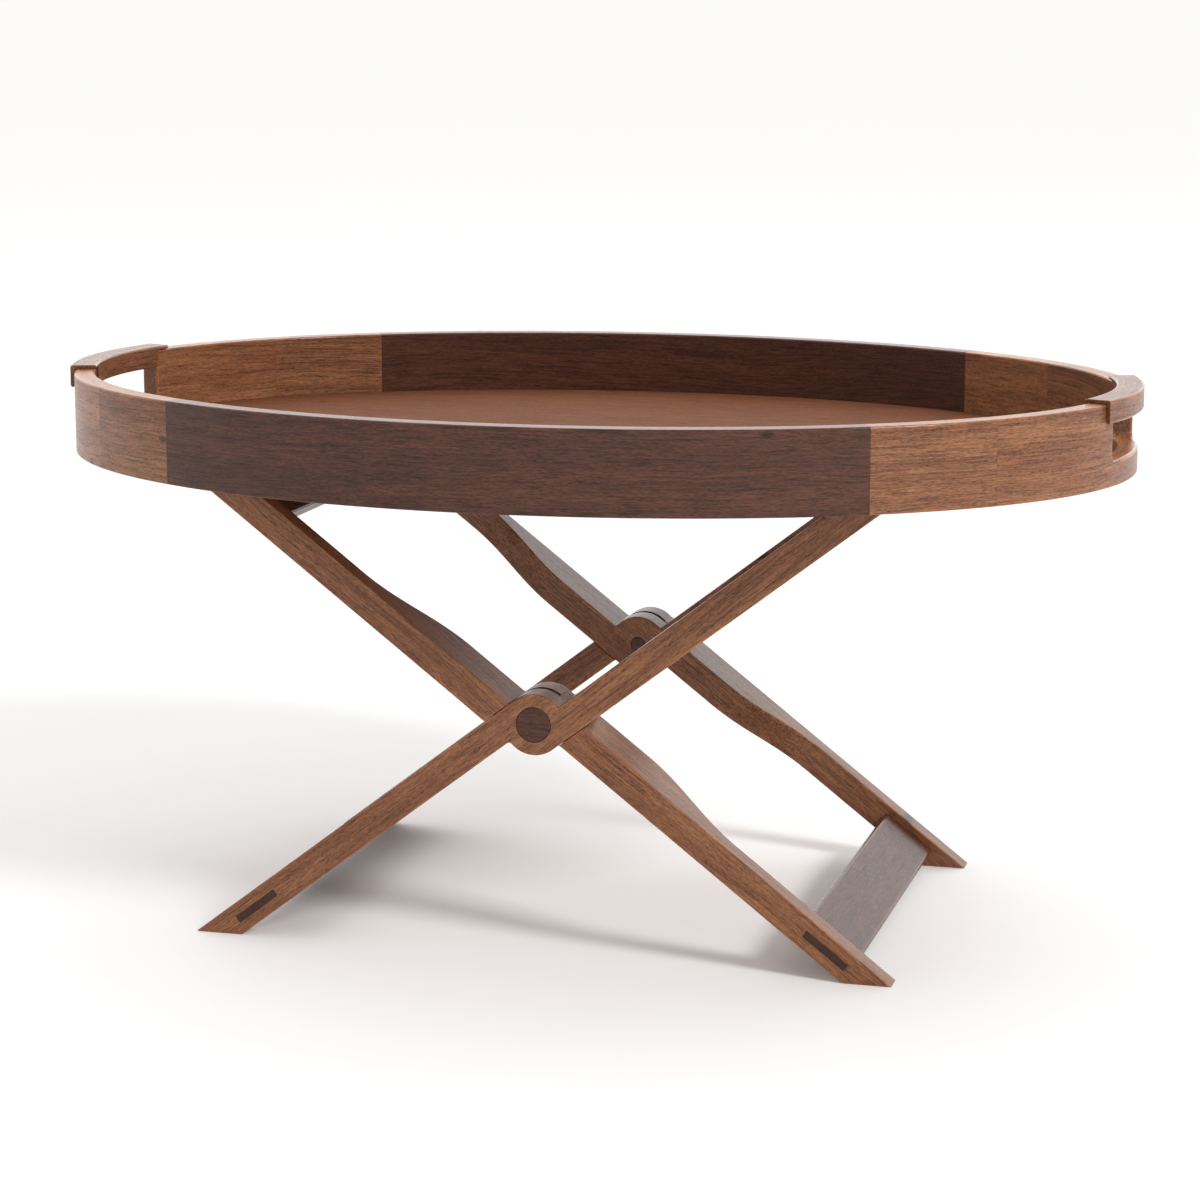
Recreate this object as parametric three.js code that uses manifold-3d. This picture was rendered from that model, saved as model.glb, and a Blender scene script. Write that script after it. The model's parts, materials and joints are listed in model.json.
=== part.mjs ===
// Folding tray table: an oval walnut tray that lifts off a scissor-folding leg frame.
// Millimetres, +Z up. The origin is on the floor, at the centre of the footprint, and
// +X runs along the tray from handle to handle.
import * as THREE from 'three';
import { mergeVertices } from 'three/addons/utils/BufferGeometryUtils.js';
import Module from 'manifold-3d';

const wasm = await Module();
wasm.setup();

// ---- Driving dimensions ----------------------------------------------------------------
const RIM_HALF_LENGTH = 450;
const RIM_HALF_WIDTH = 326;
const RIM_TOP = 452;
const RIM_BOTTOM = 385.5;
const RIM_THICKNESS = 17;
const REBATE_WIDTH = 6;
const DARK_JOINT_X = 281;
const END_JOINT_X = 366;

const FLOOR_TOP = 398.5;
const FLOOR_BOTTOM = 387.3;

const SLOT_HALF_LENGTH = 70;
const SLOT_BOTTOM = 406;
const SLOT_CORNER = 6;
const GRIP_HALF_LENGTH = 84;
const GRIP_BOTTOM = 437;
const GRIP_TOP = 455.5;
const GRIP_OUTER_LAP = 3.7;
const GRIP_INNER_LAP = 1.5;

const PIVOT_HEIGHT = 193.5;
const LEG_ANGLE = THREE.MathUtils.degToRad(37.56);
const LEG_WIDTH = 25;
const LEG_OUTER_Y = 189.5;
const LEG_END_THICKNESS = 20;
const KNUCKLE_THICKNESS = 50;
const KNUCKLE_FILLET = 3;
const TAPER_START = 85;
const TAPER_END = 185;
const EDGE_OFFSET = 0.4;
const LAYER_GAP = 0.6;
const STOP_GAP = 0.3;

const PIN_HEAD_RADIUS = 14.3;
const PIN_HEAD_DEPTH = 6;
const PIN_RADIUS = 6.5;
const PIN_CLEARANCE = 0.25;

const STRETCHER_NEAR = 265.3;
const STRETCHER_FAR = 318;
const STRETCHER_THICKNESS = 12.5;
const TENON_INSET = 5.3;
const TENON_THICKNESS = 6.3;
const STOPPED_TENON_LENGTH = 13;

const CLEAT_BOTTOM = 375;
const CLEAT_INNER_X = 228;
const CLEAT_HALF_LENGTH = 167;
const CLEAT_TO_STRETCHER = 1;
const SCREW_X = 238;
const SCREW_SPACING = 130;
const SCREW_LENGTH = 19.5;
const SCREW_RADIUS = 1.8;
const SCREW_HEAD_RADIUS = 3.6;
const SCREW_HEAD_HEIGHT = 3;
const SCREW_SIDES = 16;

const SPLINE_LENGTH = 24;
const SPLINE_THICKNESS = 5;
const SPLINE_BOTTOM = 404;
const SPLINE_TOP = 440;

const DOWEL_RADIUS = 3;
const DOWEL_LENGTH = 20;
const DOWEL_HEIGHT = 444.6;

const GLUE_GAP = 0.2;
const OVERSHOOT = 5;

// ---- Colours and finishes --------------------------------------------------------------
const finish = (color, roughness, metalness = 0) => () =>
  new THREE.MeshStandardMaterial({ color, roughness, metalness });
const lightWalnut = finish(0x8a5a3c, 0.5);
const darkWalnut = finish(0x4c342b, 0.5);
const floorVeneer = finish(0x7a4a30, 0.45);
const beech = finish(0xc9a06c, 0.6);
const steel = finish(0x9a9a98, 0.35, 0.9);

// ---- Solids: join and cut --------------------------------------------------------------
function solidOf(geometry) {
  const bare = geometry.clone();
  bare.deleteAttribute('normal');
  bare.deleteAttribute('uv');
  const merged = mergeVertices(bare, 1e-4);
  return new wasm.Manifold(new wasm.Mesh({
    numProp: 3,
    vertProperties: new Float32Array(merged.attributes.position.array),
    triVerts: new Uint32Array(merged.index.array),
  }));
}

function geometryOf(solid) {
  const mesh = solid.getMesh();
  const geometry = new THREE.BufferGeometry();
  geometry.setAttribute('position', new THREE.BufferAttribute(mesh.vertProperties, 3));
  geometry.setIndex(new THREE.BufferAttribute(mesh.triVerts, 1));
  return geometry;
}

// A flat outline, given as [x, y] points, made into a prism from z = low to z = high.
function prism(points, low, high) {
  const shape = new THREE.Shape(points.map(([x, y]) => new THREE.Vector2(x, y)));
  const geometry = new THREE.ExtrudeGeometry(shape, { depth: high - low, bevelEnabled: false });
  return geometry.translate(0, 0, low);
}

// The same, for an outline given as [x, z] points, from y = low to y = high.
function sidePrism(points, low, high) {
  return prism(points, -high, -low).rotateX(Math.PI / 2);
}

function box(low, high) {
  const size = high.map((value, axis) => value - low[axis]);
  const middle = high.map((value, axis) => (value + low[axis]) / 2);
  return new THREE.BoxGeometry(...size).translate(...middle);
}

// A round bar along Y between two depths.
function roundBar(radius, low, high, segments) {
  const geometry = new THREE.CylinderGeometry(radius, radius, high - low, segments);
  return geometry.translate(0, (low + high) / 2, 0);
}

function arc(centreX, centreY, radius, start, end, steps) {
  return Array.from({ length: steps + 1 }, (_, step) => {
    const angle = start + (end - start) * step / steps;
    return [centreX + radius * Math.cos(angle), centreY + radius * Math.sin(angle)];
  });
}

function addMesh(group, name, geometry, material) {
  const mesh = new THREE.Mesh(geometry, material());
  mesh.name = name;
  group.add(mesh);
  return mesh;
}

const table = new THREE.Group();

// ---- The oval of the tray --------------------------------------------------------------
// A point on the oval at ellipse angle t, moved outward along the normal by offset.
function ovalPoint(t, offset) {
  const x = RIM_HALF_LENGTH * Math.cos(t);
  const y = RIM_HALF_WIDTH * Math.sin(t);
  const normal = new THREE.Vector2(x / RIM_HALF_LENGTH ** 2, y / RIM_HALF_WIDTH ** 2).normalize();
  return [x + normal.x * offset, y + normal.y * offset];
}

// The direction along the rim at ellipse angle t, as an angle about Z.
function ovalHeading(t) {
  return Math.atan2(RIM_HALF_WIDTH * Math.cos(t), -RIM_HALF_LENGTH * Math.sin(t));
}

// The ellipse angle that moves a distance along the rim from angle t.
function alongRim(t, distance) {
  const speed = Math.hypot(RIM_HALF_LENGTH * Math.sin(t), RIM_HALF_WIDTH * Math.cos(t));
  return t + distance / speed;
}

// A curved bar between two offsets from the oval, from angle t0 to t1, and between two heights.
function curvedBar(t0, t1, outer, inner, low, high) {
  const steps = Math.max(2, Math.ceil((t1 - t0) / THREE.MathUtils.degToRad(3.2)));
  const angles = Array.from({ length: steps + 1 }, (_, step) => t0 + (t1 - t0) * step / steps);
  const outside = angles.map((t) => ovalPoint(t, outer));
  const inside = angles.map((t) => ovalPoint(t, inner)).reverse();
  return solidOf(prism([...outside, ...inside], low, high));
}

const angleAtX = (x) => Math.acos(x / RIM_HALF_LENGTH);
const angleAtY = (y) => Math.asin(y / RIM_HALF_WIDTH);
const darkJoint = angleAtX(DARK_JOINT_X);
const endJoint = angleAtX(END_JOINT_X);
const rimMiddle = -RIM_THICKNESS / 2;

// ---- Rim joints: a loose tongue across each butt joint ---------------------------------
const rimJoints = [
  ['right_end_back', endJoint],
  ['right_dark_back', darkJoint],
  ['left_dark_back', Math.PI - darkJoint],
  ['left_end_back', Math.PI - endJoint],
  ['left_end_front', Math.PI + endJoint],
  ['left_dark_front', Math.PI + darkJoint],
  ['right_dark_front', 2 * Math.PI - darkJoint],
  ['right_end_front', 2 * Math.PI - endJoint],
];

function splineGeometry(t, extra) {
  const half = [SPLINE_LENGTH / 2 + extra, SPLINE_THICKNESS / 2 + extra];
  const [x, y] = ovalPoint(t, rimMiddle);
  return box([-half[0], -half[1], SPLINE_BOTTOM - extra], [half[0], half[1], SPLINE_TOP + extra])
    .rotateZ(ovalHeading(t))
    .translate(x, y, 0);
}

function rimPiece(t0, t1) {
  const start = alongRim(t0, GLUE_GAP / 2);
  const end = alongRim(t1, -GLUE_GAP / 2);
  const bar = curvedBar(start, end, 0, -RIM_THICKNESS, RIM_BOTTOM, RIM_TOP);
  const rebate = curvedBar(
    start - 0.02, end + 0.02,
    REBATE_WIDTH - RIM_THICKNESS, -RIM_THICKNESS - OVERSHOOT,
    RIM_BOTTOM - OVERSHOOT, FLOOR_TOP + GLUE_GAP,
  );
  return rimJoints.reduce(
    (piece, [, joint]) => piece.subtract(solidOf(splineGeometry(joint, GLUE_GAP))),
    bar.subtract(rebate),
  );
}

// ---- Finger slot and grip --------------------------------------------------------------
const slotEnd = angleAtY(SLOT_HALF_LENGTH);
const gripEnd = angleAtY(GRIP_HALF_LENGTH);

// The notch's outline in ellipse angle and height, rounded at its lower corners, then bent
// along the rim, so that its end walls stand square to the rim.
function slotCutter(side) {
  const cornerAngle = alongRim(0, SLOT_CORNER);
  const steps = 12;
  const corner = (middle, start) => arc(0, 0, 1, start, start + Math.PI / 2, 4)
    .map(([cos, sin]) => [middle + cos * cornerAngle, SLOT_BOTTOM + SLOT_CORNER + sin * SLOT_CORNER]);
  const level = (height, from, to) => Array.from({ length: steps - 1 }, (_, step) =>
    [from + (to - from) * (step + 1) / steps, height]);
  const inner = slotEnd - cornerAngle;
  const outline = [
    [-slotEnd, RIM_TOP + OVERSHOOT],
    ...corner(-inner, Math.PI),
    ...level(SLOT_BOTTOM, -inner, inner),
    ...corner(inner, -Math.PI / 2),
    [slotEnd, RIM_TOP + OVERSHOOT],
    ...level(RIM_TOP + OVERSHOOT, slotEnd, -slotEnd),
  ];
  const reach = 40;
  const geometry = prism(outline, -reach, reach);
  const position = geometry.attributes.position;
  for (let index = 0; index < position.count; index += 1) {
    const [x, y] = ovalPoint(position.getX(index), position.getZ(index) + rimMiddle);
    position.setXYZ(index, side * x, side * y, position.getY(index));
  }
  return solidOf(geometry);
}

// A dowel along the rim, centred on one end wall of the notch.
function dowelGeometry(side, end, extra) {
  const t = end * slotEnd;
  const [x, y] = ovalPoint(t, rimMiddle);
  const radius = DOWEL_RADIUS + extra;
  return new THREE.CylinderGeometry(radius, radius, DOWEL_LENGTH + 2 * extra, 16)
    .rotateZ(ovalHeading(t) - Math.PI / 2)
    .translate(x, y, DOWEL_HEIGHT)
    .rotateZ(side > 0 ? 0 : Math.PI);
}

function turned(side, solid) {
  return side > 0 ? solid : solidOf(geometryOf(solid).rotateZ(Math.PI));
}

function gripBar(side) {
  const clear = alongRim(slotEnd, -GLUE_GAP);
  const whole = curvedBar(
    -gripEnd, gripEnd, GRIP_OUTER_LAP, -RIM_THICKNESS - GRIP_INNER_LAP, GRIP_BOTTOM, GRIP_TOP,
  );
  const overRim = [[-gripEnd - 0.1, -clear], [clear, gripEnd + 0.1]].map(([t0, t1]) => curvedBar(
    t0, t1, GLUE_GAP, -RIM_THICKNESS - OVERSHOOT, GRIP_BOTTOM - OVERSHOOT, RIM_TOP + GLUE_GAP,
  ));
  return turned(side, overRim.reduce((bar, cut) => bar.subtract(cut), whole));
}

// ---- Tray ------------------------------------------------------------------------------
function addTray(group) {
  const pieces = [
    ['rim_back_right', endJoint, darkJoint, lightWalnut],
    ['rim_back_dark', darkJoint, Math.PI - darkJoint, darkWalnut],
    ['rim_back_left', Math.PI - darkJoint, Math.PI - endJoint, lightWalnut],
    ['rim_front_left', Math.PI + endJoint, Math.PI + darkJoint, lightWalnut],
    ['rim_front_dark', Math.PI + darkJoint, 2 * Math.PI - darkJoint, darkWalnut],
    ['rim_front_right', 2 * Math.PI - darkJoint, 2 * Math.PI - endJoint, lightWalnut],
  ];
  for (const [name, t0, t1, material] of pieces) {
    addMesh(group, name, geometryOf(rimPiece(t0, t1)), material);
  }
  for (const [where, t] of rimJoints) {
    addMesh(group, `rim_spline_${where}`, splineGeometry(t, 0), beech);
  }
  for (const [where, side] of [['right', 1], ['left', -1]]) {
    const turn = side > 0 ? 0 : Math.PI;
    let end = rimPiece(turn - endJoint, turn + endJoint).subtract(slotCutter(side));
    let grip = gripBar(side);
    for (const [place, dowelEnd] of [['front', -side], ['rear', side]]) {
      const hole = solidOf(dowelGeometry(side, dowelEnd, GLUE_GAP));
      end = end.subtract(hole);
      grip = grip.subtract(hole);
      addMesh(group, `grip_dowel_${where}_${place}`, dowelGeometry(side, dowelEnd, 0), beech);
    }
    addMesh(group, `rim_end_${where}`, geometryOf(end), lightWalnut);
    addMesh(group, `handle_${where}`, geometryOf(grip), lightWalnut);
  }
  addFloorAndCleats(group);
}

// Screws stand upright, driven up through the cleat into the floor panel. With extra above
// zero this is the hole for one, open below.
function screwGeometry(x, y, extra) {
  const face = CLEAT_BOTTOM + GLUE_GAP;
  const tip = CLEAT_BOTTOM + SCREW_LENGTH + extra;
  const head = SCREW_HEAD_RADIUS + extra;
  const shank = SCREW_RADIUS + extra;
  const below = extra > 0 ? OVERSHOOT : 0;
  const profile = [
    [0, face - below],
    [head, face - below],
    ...(below > 0 ? [[head, face]] : []),
    [shank, CLEAT_BOTTOM + SCREW_HEAD_HEIGHT],
    [shank, tip],
    [0, tip],
  ];
  const points = profile.map(([r, z]) => new THREE.Vector2(r, z));
  return new THREE.LatheGeometry(points, SCREW_SIDES).rotateX(Math.PI / 2).translate(x, y, 0);
}

function addFloorAndCleats(group) {
  const outline = Array.from({ length: 112 }, (_, step) =>
    ovalPoint(step * 2 * Math.PI / 112, REBATE_WIDTH - RIM_THICKNESS - GLUE_GAP));
  let floor = solidOf(prism(outline, FLOOR_BOTTOM, FLOOR_TOP));
  const cleatTop = FLOOR_BOTTOM - GLUE_GAP;
  // The bevelled face lies along the upper stretcher of the leg frame beside it.
  const bevelOffset = -LEG_WIDTH / 2 + STRETCHER_THICKNESS / 2 + CLEAT_TO_STRETCHER;
  const bevelX = (height) => {
    const along = (height - PIVOT_HEIGHT - bevelOffset * Math.cos(LEG_ANGLE)) / Math.sin(LEG_ANGLE);
    return along * Math.cos(LEG_ANGLE) - bevelOffset * Math.sin(LEG_ANGLE);
  };
  for (const [where, side] of [['right', 1], ['left', -1]]) {
    const section = [
      [side * CLEAT_INNER_X, CLEAT_BOTTOM],
      [side * bevelX(CLEAT_BOTTOM), CLEAT_BOTTOM],
      [side * bevelX(cleatTop), cleatTop],
      [side * CLEAT_INNER_X, cleatTop],
    ];
    let cleat = solidOf(sidePrism(section, -CLEAT_HALF_LENGTH, CLEAT_HALF_LENGTH));
    for (const [place, y] of [['front', -SCREW_SPACING], ['middle', 0], ['rear', SCREW_SPACING]]) {
      const hole = solidOf(screwGeometry(side * SCREW_X, y, GLUE_GAP));
      cleat = cleat.subtract(hole);
      floor = floor.subtract(hole);
      addMesh(group, `cleat_screw_${where}_${place}`, screwGeometry(side * SCREW_X, y, 0), steel);
    }
    addMesh(group, `cleat_${where}`, geometryOf(cleat), darkWalnut);
  }
  addMesh(group, 'tray_floor', geometryOf(floor), floorVeneer);
}

// ---- Legs ------------------------------------------------------------------------------
// A leg frame is drawn in its own axes: x along the leg, upward, z square to it, and the
// pivot at the origin. Each leg is the same turned half round about the pivot.
function legOutline() {
  const half = legHalfOutline();
  return [...half, ...half.map(([x, z]) => [-x, -z])];
}

function legHalfOutline() {
  const endAt = (z) => (PIVOT_HEIGHT - z * Math.cos(LEG_ANGLE)) / Math.sin(LEG_ANGLE);
  const filletZ = KNUCKLE_FILLET - EDGE_OFFSET;
  const filletX = Math.sqrt((LEG_WIDTH + KNUCKLE_FILLET) ** 2 - filletZ ** 2);
  const contact = Math.atan2(filletZ, filletX);
  const fillet = arc(filletX, filletZ, KNUCKLE_FILLET, -Math.PI / 2, contact - Math.PI, 4);
  return [
    [0, -LEG_WIDTH],
    [endAt(-LEG_WIDTH), -LEG_WIDTH],
    [endAt(-EDGE_OFFSET), -EDGE_OFFSET],
    ...fillet,
    ...arc(0, 0, LEG_WIDTH, contact, Math.PI / 2, 14).slice(1, -1),
  ];
}

// The leg seen from above: flat outside, and inside it swells towards the knuckle.
function legPlan() {
  const steps = 10;
  const ease = (step) => (1 - Math.cos(Math.PI * step / steps)) / 2;
  const taper = Array.from({ length: steps + 1 }, (_, step) => [
    TAPER_START + (TAPER_END - TAPER_START) * step / steps,
    LEG_OUTER_Y - KNUCKLE_THICKNESS + (KNUCKLE_THICKNESS - LEG_END_THICKNESS) * ease(step),
  ]);
  const reach = 400;
  const right = [...taper, [reach, LEG_OUTER_Y - LEG_END_THICKNESS], [reach, LEG_OUTER_Y]];
  const left = right.map(([x, y]) => [-x, y]).reverse();
  return [...left, ...right];
}

const kneeMiddle = LEG_OUTER_Y - KNUCKLE_THICKNESS / 2;
const layers = {
  outer: [kneeMiddle + LAYER_GAP / 2, LEG_OUTER_Y + OVERSHOOT],
  inner: [LEG_OUTER_Y - KNUCKLE_THICKNESS - OVERSHOOT, kneeMiddle - LAYER_GAP / 2],
};

// The half-lap: room for the partner's knuckle and arms, with the shoulders that stop on them.
function lapCutter(partnerLayer) {
  const half = LEG_WIDTH + STOP_GAP;
  const [low, high] = layers[partnerLayer];
  const margin = LAYER_GAP;
  const reach = 120;
  const cut = box(
    [-reach, partnerLayer === 'outer' ? low - margin : low, -half],
    [reach, partnerLayer === 'outer' ? high : high + margin, half],
  );
  return solidOf(cut.rotateY(-(Math.PI - 2 * LEG_ANGLE)));
}

// The lower tenons go right through the legs; the upper ones stop inside them.
function tenonTip(end) {
  return LEG_OUTER_Y - (end > 0 ? LEG_END_THICKNESS - STOPPED_TENON_LENGTH : 0);
}

function mortise(end) {
  const along = [STRETCHER_NEAR + TENON_INSET - GLUE_GAP, STRETCHER_FAR - TENON_INSET + GLUE_GAP];
  const across = TENON_THICKNESS / 2 + GLUE_GAP;
  const middle = LEG_WIDTH / 2;
  const depth = tenonTip(end) + (end > 0 ? GLUE_GAP : OVERSHOOT);
  const cut = box([along[0], 0, -middle - across], [along[1], depth, -middle + across]);
  return solidOf(end > 0 ? cut : cut.rotateY(Math.PI));
}

function legSolid(layer) {
  const low = LEG_OUTER_Y - KNUCKLE_THICKNESS;
  const profile = solidOf(sidePrism(legOutline(), low, LEG_OUTER_Y));
  const plan = solidOf(prism(legPlan(), -2 * LEG_WIDTH, 2 * LEG_WIDTH));
  const partner = layer === 'outer' ? 'inner' : 'outer';
  let leg = profile.intersect(plan).subtract(lapCutter(partner));
  const shank = roundBar(PIN_RADIUS + PIN_CLEARANCE, low - OVERSHOOT, 2 * LEG_OUTER_Y, 32);
  leg = leg.subtract(solidOf(shank));
  if (layer === 'outer') {
    const depth = LEG_OUTER_Y - PIN_HEAD_DEPTH - PIN_CLEARANCE;
    const counterbore = roundBar(PIN_HEAD_RADIUS + PIN_CLEARANCE, depth, 2 * LEG_OUTER_Y, 40);
    leg = leg.subtract(solidOf(counterbore));
  }
  return leg.subtract(mortise(1)).subtract(mortise(-1));
}

// A board between the two legs of a frame, with a thinner tenon into each.
function stretcherSolid(end) {
  const inside = LEG_OUTER_Y - LEG_END_THICKNESS - GLUE_GAP;
  const middle = -LEG_WIDTH / 2;
  const tip = tenonTip(end);
  const board = box(
    [STRETCHER_NEAR, -inside, middle - STRETCHER_THICKNESS / 2],
    [STRETCHER_FAR, inside, middle + STRETCHER_THICKNESS / 2],
  );
  const tenons = box(
    [STRETCHER_NEAR + TENON_INSET, -tip, middle - TENON_THICKNESS / 2],
    [STRETCHER_FAR - TENON_INSET, tip, middle + TENON_THICKNESS / 2],
  );
  const both = geometryOf(solidOf(board).add(solidOf(tenons)));
  return end > 0 ? both : both.rotateY(Math.PI);
}

function addLegFrame(group, layer) {
  const rear = legSolid(layer);
  const mirrored = rear.mirror([0, 1, 0]);
  // The inner frame is the outer one turned half round about Z, so its own rear is in front.
  const [atRear, atFront] = layer === 'outer' ? [rear, mirrored] : [mirrored, rear];
  addMesh(group, `leg_${layer}_rear`, geometryOf(atRear), lightWalnut);
  addMesh(group, `leg_${layer}_front`, geometryOf(atFront), lightWalnut);
  addMesh(group, `stretcher_${layer}_upper`, stretcherSolid(1), darkWalnut);
  addMesh(group, `stretcher_${layer}_lower`, stretcherSolid(-1), darkWalnut);
}

// ---- Pivot pins ------------------------------------------------------------------------
function pinGeometry() {
  const head = LEG_OUTER_Y - PIN_HEAD_DEPTH;
  const profile = [
    [0, LEG_OUTER_Y - KNUCKLE_THICKNESS],
    [PIN_RADIUS, LEG_OUTER_Y - KNUCKLE_THICKNESS],
    [PIN_RADIUS, head],
    [PIN_HEAD_RADIUS, head],
    [PIN_HEAD_RADIUS, LEG_OUTER_Y],
    [0, LEG_OUTER_Y],
  ];
  return new THREE.LatheGeometry(profile.map(([r, y]) => new THREE.Vector2(r, y)), 40);
}

function addPins(group) {
  addMesh(group, 'pivot_pin_rear', pinGeometry(), darkWalnut);
  addMesh(group, 'pivot_pin_front', pinGeometry().rotateZ(Math.PI), darkWalnut);
}

// ---- Assembly --------------------------------------------------------------------------
function frameGroup(turn) {
  const facing = new THREE.Group();
  facing.rotation.z = turn;
  const frame = new THREE.Group();
  frame.position.z = PIVOT_HEIGHT;
  frame.rotation.y = -LEG_ANGLE;
  facing.add(frame);
  table.add(facing);
  return frame;
}

const tray = new THREE.Group();
table.add(tray);
addTray(tray);

addLegFrame(frameGroup(0), 'outer');
addLegFrame(frameGroup(Math.PI), 'inner');

const pins = new THREE.Group();
pins.position.z = PIVOT_HEIGHT;
table.add(pins);
addPins(pins);

export default table;
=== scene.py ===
import json
import math
import random

import bmesh
import bpy
import numpy as np
from mathutils import Matrix, Vector


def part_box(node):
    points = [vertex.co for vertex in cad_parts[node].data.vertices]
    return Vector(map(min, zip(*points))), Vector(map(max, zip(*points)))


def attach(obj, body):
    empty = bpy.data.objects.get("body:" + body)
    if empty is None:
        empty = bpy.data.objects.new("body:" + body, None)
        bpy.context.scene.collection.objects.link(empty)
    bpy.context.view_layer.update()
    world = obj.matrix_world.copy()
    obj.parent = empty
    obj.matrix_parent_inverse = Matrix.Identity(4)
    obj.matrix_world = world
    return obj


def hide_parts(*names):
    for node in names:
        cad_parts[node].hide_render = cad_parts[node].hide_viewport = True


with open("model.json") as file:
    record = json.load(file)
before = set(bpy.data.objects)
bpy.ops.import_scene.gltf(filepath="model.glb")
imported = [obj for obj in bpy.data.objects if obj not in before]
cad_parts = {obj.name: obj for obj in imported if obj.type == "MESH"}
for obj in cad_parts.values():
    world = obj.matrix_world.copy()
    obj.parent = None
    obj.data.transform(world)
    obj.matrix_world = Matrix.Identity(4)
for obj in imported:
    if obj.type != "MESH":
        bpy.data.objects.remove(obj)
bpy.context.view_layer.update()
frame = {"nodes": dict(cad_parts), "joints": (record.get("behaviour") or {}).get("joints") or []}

MM = 0.001
chance = random.Random(11)

# ---- Sizes taken from the frame ----------------------------------------------------------
BACK_LOW, BACK_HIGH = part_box("rim_back_dark")
SIDE_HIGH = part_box("rim_back_right")[1]
HALF_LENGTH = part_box("rim_end_right")[1].x
HALF_WIDTH = BACK_HIGH.y
RIM_BOTTOM, RIM_TOP = BACK_LOW.z, BACK_HIGH.z
FLOOR_BOTTOM, FLOOR_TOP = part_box("tray_floor")[0].z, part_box("tray_floor")[1].z
GRIP_LOW, GRIP_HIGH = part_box("handle_right")
LEG_LOW, LEG_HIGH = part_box("leg_outer_rear")
KNEE_HEIGHT = frame["joints"][0]["pos_m"][2]
CLEAT_LOW, CLEAT_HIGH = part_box("cleat_right")

# ---- Sizes of the joinery ----------------------------------------------------------------
RIM_THICKNESS = 17 * MM
REBATE_WIDTH = 6 * MM
GLUE_LINE = 0.07 * MM
FIT = 0.2 * MM

SLOT_HALF_LENGTH = 70 * MM
SLOT_BOTTOM = 406 * MM
SLOT_CORNER = 6 * MM
GRIP_OUTER_LAP = GRIP_HIGH.x - HALF_LENGTH
GRIP_INNER_LAP = 1.5 * MM
DOWEL_RADIUS = 3 * MM
DOWEL_HALF_LENGTH = 10 * MM
DOWEL_HEIGHT = 444.6 * MM
SPLINE_HALF_LENGTH = 12 * MM
SPLINE_HALF_THICKNESS = 2.5 * MM
SPLINE_BOTTOM, SPLINE_TOP = 404 * MM, 440 * MM

LEG_ANGLE = math.radians(37.56)
LEG_WIDTH = 25 * MM
LEG_END_THICKNESS = 20 * MM
KNUCKLE_FILLET = 3 * MM
TAPER_START, TAPER_END = 85 * MM, 185 * MM
EDGE_OFFSET = 0.4 * MM
LAYER_GAP = 1.0 * MM
STOP_GAP = 0.3 * MM
PIN_HEAD_RADIUS = 14.3 * MM
PIN_HEAD_DEPTH = 6 * MM
PIN_RADIUS = 6.5 * MM
PIN_CLEARANCE = 0.25 * MM

STRETCHER_NEAR, STRETCHER_FAR = 265.3 * MM, 318 * MM
STRETCHER_THICKNESS = 12.5 * MM
TENON_INSET = 5.3 * MM
TENON_THICKNESS = 6.3 * MM
STOPPED_TENON_LENGTH = 13 * MM
MORTISE_GAP = 0.12 * MM

CLEAT_INNER_X = CLEAT_LOW.x
SCREW_X = 238 * MM
SCREW_SPACING = 130 * MM
SCREW_HEAD_RADIUS = 3.6 * MM
SCREW_HEAD_HEIGHT = 3 * MM
SCREW_RADIUS = 1.8 * MM
SCREW_LENGTH = 19.5 * MM
RECESS_HALF_LENGTH = 2.1 * MM
RECESS_HALF_WIDTH = 0.45 * MM
RECESS_DEPTH = 1.5 * MM

# ---- Rounded edges -----------------------------------------------------------------------
RIM_TOP_ROUND = 1.6 * MM
RIM_FOOT_ROUND = 0.8 * MM
NOTCH_ROUND = 2.6 * MM
GRIP_ROUND = 1.7 * MM
GRIP_END_ROUND = 0.6 * MM
FLOOR_ROUND = 0.4 * MM
CLEAT_ROUND = 1.0 * MM
LEG_ROUND = 1.2 * MM
STRETCHER_ROUND = 3.0 * MM
TENON_ROUND = 0.3 * MM
PIN_HEAD_ROUND = 0.6 * MM
PIN_TIP_ROUND = 0.4 * MM

# ---- How the meshes are cut and marked -----------------------------------------------------
# An outer edge sharper than SHARP gets a round, and one sharper than CREASE is shaded sharp.
SHARP = math.radians(32)
CREASE = math.radians(42)
# A board that is bent has a cross cut at least this often.
SLICE = 8 * MM
TAPER_SLICE = 4 * MM
# How far a cutting tool goes past the wood, and how near is close enough to count as there.
OVER = 5 * MM
CLOSE = 0.1 * MM
# How much darker end grain is, and how much paler the top of the rim is painted, a painted highlight
# on upward faces.
END_GRAIN = 0.35
TOP_PAINTED_HIGHLIGHT = 0.7
# The bevelled seam round a knuckle is painted darker and duller than unworn wood: painted shade in
# the groove between the two legs.
SEAM_BEVEL = 2.4 * MM
SEAM_REACH = 3.5 * MM
SEAM_PAINTED_SHADE = -2.4


# ---- Camera --------------------------------------------------------------------------------
CAMERA_PLACE = (0.72535, -2.637, 0.78708)
CAMERA_AIM = (-0.25935, 0.94705, -0.18935)
SENSOR_WIDTH, LENS = 36, 98.61
FARTHEST_SEEN = 100


def set_camera():
    """Looks at the table from the front, a little from the right and above."""
    data = bpy.data.cameras.new("camera")
    data.sensor_width = SENSOR_WIDTH
    data.lens = LENS
    data.clip_end = FARTHEST_SEEN
    camera = bpy.data.objects.new("camera", data)
    camera.location = CAMERA_PLACE
    camera.rotation_mode = "QUATERNION"
    camera.rotation_quaternion = Vector(CAMERA_AIM).to_track_quat("-Z", "Y")
    bpy.context.scene.collection.objects.link(camera)
    bpy.context.scene.camera = camera


# ---- Solids in mesh code -------------------------------------------------------------------
def arc(centre, radius, start, end, steps):
    """Points on an arc, as pairs."""
    turns = [start + (end - start) * step / steps for step in range(steps + 1)]
    return [(centre[0] + radius * math.cos(t), centre[1] + radius * math.sin(t)) for t in turns]


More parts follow.
